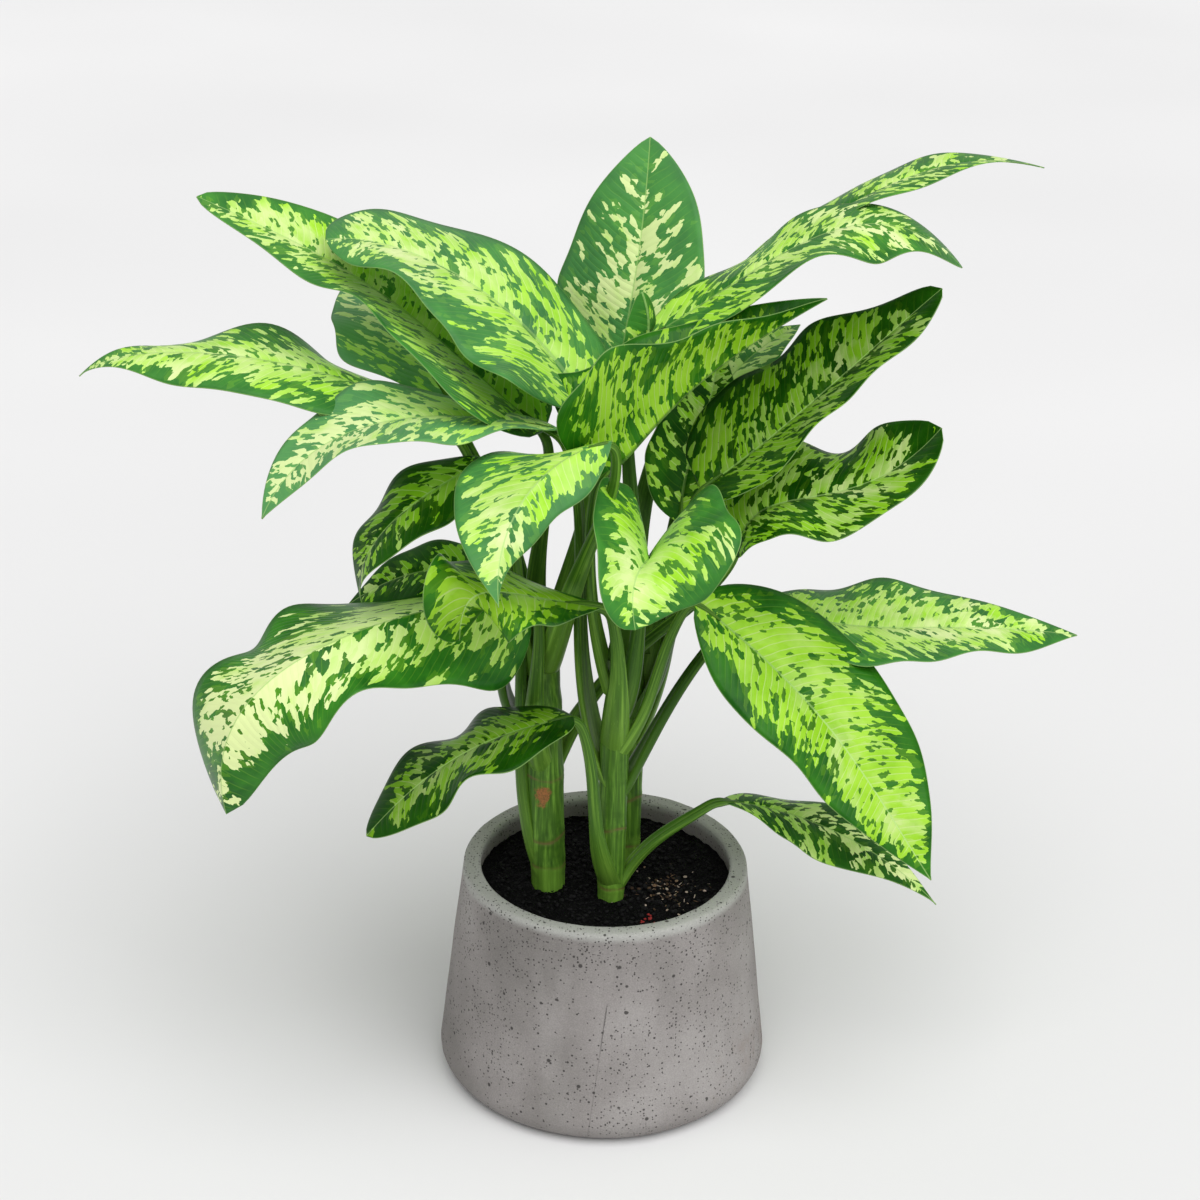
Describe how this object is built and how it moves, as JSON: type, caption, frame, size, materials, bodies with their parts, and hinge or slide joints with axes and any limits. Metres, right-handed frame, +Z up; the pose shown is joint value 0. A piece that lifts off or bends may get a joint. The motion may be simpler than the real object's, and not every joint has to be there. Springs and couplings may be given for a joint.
{
  "type": "potted dieffenbachia",
  "caption": "Variegated dieffenbachia: lance-shaped leaves on long stalks from thick green canes, in a round grey concrete pot that narrows to its rim.",
  "frame": {"origin": "centre of the pot's flat underside, where it stands", "axes": "+Z straight up through the pot's mouth; +X and +Y level, with most leaves reaching out along +X and -X; the open side with the fewest stalks faces -Y"},
  "size_m": [0.6783, 0.3307, 0.6423],
  "materials": {
    "pot": "matt cast concrete with fine dark pits",
    "potting_mix": "moist dark peat and bark, crumbly",
    "cane": "smooth green bark with leaf scar rings",
    "stalk": "smooth, slightly glossy, faintly streaked",
    "leaf_deep": "waxy, with few pale flecks along the veins",
    "leaf_mid": "waxy, with pale blotches along the veins",
    "leaf_pale": "waxy, mostly pale with a green edge"
  },
  "bodies": {
    "root": {"pot": "pot", "soil": "potting_mix", "cane_left": "cane", "cane_right": "cane", "cane_rear": "cane", "stalk_left_1": "stalk", "leaf_left_1": "leaf_deep", "stalk_left_2": "stalk", "leaf_left_2": "leaf_deep", "stalk_left_3": "stalk", "leaf_left_3": "leaf_pale", "stalk_left_4": "stalk", "leaf_left_4": "leaf_deep", "stalk_left_5": "stalk", "leaf_left_5": "leaf_mid", "stalk_left_6": "stalk", "leaf_left_6": "leaf_mid", "stalk_left_7": "stalk", "leaf_left_7": "leaf_mid", "stalk_left_8": "stalk", "leaf_left_8": "leaf_pale", "stalk_left_9": "stalk", "leaf_left_9": "leaf_pale", "stalk_right_1": "stalk", "leaf_right_1": "leaf_deep", "stalk_right_2": "stalk", "leaf_right_2": "leaf_deep", "stalk_right_3": "stalk", "leaf_right_3": "leaf_pale", "stalk_right_4": "stalk", "leaf_right_4": "leaf_mid", "stalk_right_5": "stalk", "leaf_right_5": "leaf_pale", "stalk_right_6": "stalk", "leaf_right_6": "leaf_mid", "stalk_right_7": "stalk", "leaf_right_7": "leaf_mid", "stalk_right_8": "stalk", "leaf_right_8": "leaf_pale", "stalk_right_9": "stalk", "leaf_right_9": "leaf_mid", "stalk_rear_1": "stalk", "leaf_rear_1": "leaf_deep", "stalk_rear_2": "stalk", "leaf_rear_2": "leaf_deep", "stalk_rear_3": "stalk", "leaf_rear_3": "leaf_mid", "stalk_rear_4": "stalk", "leaf_rear_4": "leaf_mid", "stalk_rear_5": "stalk", "leaf_rear_5": "leaf_mid", "stalk_rear_6": "stalk", "leaf_rear_6": "leaf_mid"}
  },
  "joints": []
}
